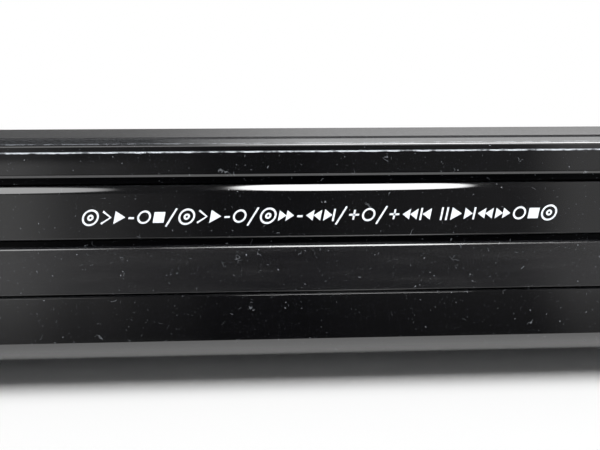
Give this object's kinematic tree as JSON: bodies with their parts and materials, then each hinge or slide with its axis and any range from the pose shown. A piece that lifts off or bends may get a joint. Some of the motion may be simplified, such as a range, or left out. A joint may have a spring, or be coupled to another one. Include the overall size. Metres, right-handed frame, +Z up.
{
  "type": "dvd player",
  "caption": "Slim full-width disc player with a banded gloss black front, motor-driven tray, tilting traverse with pickup, keys, rear sockets",
  "frame": {"origin": "on the table under the middle of the player", "axes": "+Z up, the front faces -Y, +X to the right seen from the front"},
  "size_m": [0.43, 0.207, 0.043],
  "materials": {
    "fascia_black": "gloss black moulded plastic",
    "smoked_window": "smoked gloss plastic, a little hazier",
    "key_black": "gloss black plastic",
    "cover_black": "satin black powder-coated steel",
    "zinc_steel": "zinc-coated sheet steel",
    "screw_steel": "blackened steel",
    "bright_screw": "bright steel",
    "foot_rubber": "black rubber",
    "board_green": "green solder mask",
    "board_tan": "tan paper board",
    "component_black": "black epoxy",
    "display_glass": "dark display glass",
    "lamp_red": "clear red plastic",
    "sensor_smoke": "dark red-black plastic",
    "socket_white": "coloured insert plastic",
    "nickel": "nickel-plated metal",
    "capacitor_sleeve": "dark blue sleeve",
    "ferrite": "ferrite",
    "sink_aluminium": "extruded aluminium",
    "fuse_glass": "clear glass tube",
    "cable_white": "white flat cable",
    "plug_white": "ivory plastic",
    "tray_grey": "fine-textured dark grey plastic",
    "loader_grey": "dark grey moulded plastic",
    "gear_white": "natural white acetal",
    "belt_rubber": "black rubber",
    "motor_steel": "plated steel",
    "deck_steel": "zinc-coated steel",
    "damper_rubber": "soft grey rubber",
    "rod_steel": "ground steel",
    "sled_metal": "die-cast alloy",
    "lens_plastic": "coated clear plastic in a black holder"
  },
  "bodies": {
    "case": {"av_jack_block": "socket_white", "av_jack_shells": "nickel", "board_capacitors": "capacitor_sleeve", "board_chips": "component_black", "board_screws": "bright_screw", "bottom_chassis": "zinc_steel", "cable_plugs": "plug_white", "clamp_bridge": "deck_steel", "cover_screws": "screw_steel", "decoder_chip": "component_black", "display_module": "display_glass", "display_window": "smoked_window", "feet": "foot_rubber", "flat_cable": "cable_white", "front_board": "board_tan", "front_fascia": "fascia_black", "fuse_clips": "nickel", "heat_sink": "sink_aluminium", "key_switches": "component_black", "loader_chassis": "loader_grey", "loader_screws": "bright_screw", "loading_belt": "belt_rubber", "loading_motor": "motor_steel", "main_board": "board_green", "mains_fuse": "fuse_glass", "mains_inlet": "component_black", "power_board": "board_tan", "power_capacitors": "capacitor_sleeve", "rear_panel": "cover_black", "remote_sensor": "sensor_smoke", "standby_lamp": "lamp_red", "switching_transformer": "ferrite", "top_cover": "cover_black"},
    "tray": {"disc_tray": "tray_grey", "tray_front": "fascia_black"},
    "drive_gear": {"drive_gear": "gear_white"},
    "pulley_gear": {"pulley_gear": "gear_white"},
    "motor_pulley": {"motor_pulley": "gear_white"},
    "cam_slider": {"cam_slider": "gear_white"},
    "deck": {"traverse_frame": "loader_grey", "rubber_dampers": "damper_rubber", "deck_plate": "deck_steel", "spindle_motor": "motor_steel", "guide_rods": "rod_steel", "sled_motor": "motor_steel"},
    "turntable": {"turntable": "component_black"},
    "clamp_puck": {"clamp_puck": "loader_grey"},
    "sled": {"pickup_sled": "sled_metal"},
    "lead_screw": {"lead_screw": "rod_steel"},
    "lens": {"objective_lens": "lens_plastic"},
    "power_button": {"power_button": "key_black"},
    "open_close_button": {"open_close_button": "key_black"},
    "stop_button": {"stop_button": "key_black"},
    "play_button": {"play_button": "key_black"},
    "skip_back_button": {"skip_back_button": "key_black"},
    "skip_forward_button": {"skip_forward_button": "key_black"}
  },
  "joints": [
    {"name": "tray_slide", "type": "slide", "parent": "case", "child": "tray", "axis": [0, -1, 0], "range_m": [0, 0.13]},
    {"name": "drive_gear_spin", "type": "hinge", "parent": "case", "child": "drive_gear", "pos_m": [-0.046, -0.072, 0.024], "axis": [0, 0, 1], "range_deg": [0, 917]},
    {"name": "pulley_gear_spin", "type": "hinge", "parent": "case", "child": "pulley_gear", "pos_m": [-0.02475, -0.072, 0.024], "axis": [0, 0, 1], "range_deg": [-2201, 0]},
    {"name": "motor_pulley_spin", "type": "hinge", "parent": "case", "child": "motor_pulley", "pos_m": [0.008, -0.0738, 0.024], "axis": [0, 0, 1], "range_deg": [-6743, 0]},
    {"name": "deck_tilt", "type": "hinge", "parent": "case", "child": "deck", "pos_m": [0, 0.045, 0.01865], "axis": [1, 0, 0], "range_deg": [0, 3.5]},
    {"name": "cam_slide", "type": "slide", "parent": "case", "child": "cam_slider", "axis": [1, 0, 0], "range_m": [0, 0.012]},
    {"name": "turntable_spin", "type": "hinge", "parent": "deck", "child": "turntable", "pos_m": [0, -0.036, 0.031], "axis": [0, 0, 1], "continuous": true},
    {"name": "puck_spin", "type": "hinge", "parent": "case", "child": "clamp_puck", "pos_m": [0, -0.036, 0.037], "axis": [0, 0, 1], "continuous": true},
    {"name": "sled_slide", "type": "slide", "parent": "deck", "child": "sled", "axis": [0, 1, 0], "range_m": [0, 0.034]},
    {"name": "lead_screw_spin", "type": "hinge", "parent": "deck", "child": "lead_screw", "pos_m": [0.037, 0, 0.016], "axis": [0, 1, 0], "range_deg": [0, 4081]},
    {"name": "lens_focus", "type": "slide", "parent": "sled", "child": "lens", "axis": [0, 0, 1], "range_m": [-0.0004, 0.0004], "stiffness_N_per_m": 60},
    {"name": "power_button_press", "type": "slide", "parent": "case", "child": "power_button", "axis": [0, 1, 0], "range_m": [0, 0.0006], "stiffness_N_per_m": 600, "springref_m": -0.0005},
    {"name": "open_close_button_press", "type": "slide", "parent": "case", "child": "open_close_button", "axis": [0, 1, 0], "range_m": [0, 0.0006], "stiffness_N_per_m": 600, "springref_m": -0.0005},
    {"name": "stop_button_press", "type": "slide", "parent": "case", "child": "stop_button", "axis": [0, 1, 0], "range_m": [0, 0.0006], "stiffness_N_per_m": 600, "springref_m": -0.0005},
    {"name": "play_button_press", "type": "slide", "parent": "case", "child": "play_button", "axis": [0, 1, 0], "range_m": [0, 0.0006], "stiffness_N_per_m": 600, "springref_m": -0.0005},
    {"name": "skip_back_button_press", "type": "slide", "parent": "case", "child": "skip_back_button", "axis": [0, 1, 0], "range_m": [0, 0.0006], "stiffness_N_per_m": 600, "springref_m": -0.0005},
    {"name": "skip_forward_button_press", "type": "slide", "parent": "case", "child": "skip_forward_button", "axis": [0, 1, 0], "range_m": [0, 0.0006], "stiffness_N_per_m": 600, "springref_m": -0.0005}
  ],
  "couplings": [
    {"joint": "drive_gear_spin", "follows": "tray_slide", "rad_per_m": 123.08},
    {"joint": "pulley_gear_spin", "follows": "tray_slide", "rad_per_m": -295.38},
    {"joint": "motor_pulley_spin", "follows": "tray_slide", "rad_per_m": -905.21},
    {"joint": "cam_slide", "follows": "deck_tilt", "m_per_rad": 0.19644},
    {"joint": "puck_spin", "follows": "turntable_spin", "ratio": 1},
    {"joint": "lead_screw_spin", "follows": "sled_slide", "rad_per_m": 2094.4}
  ]
}
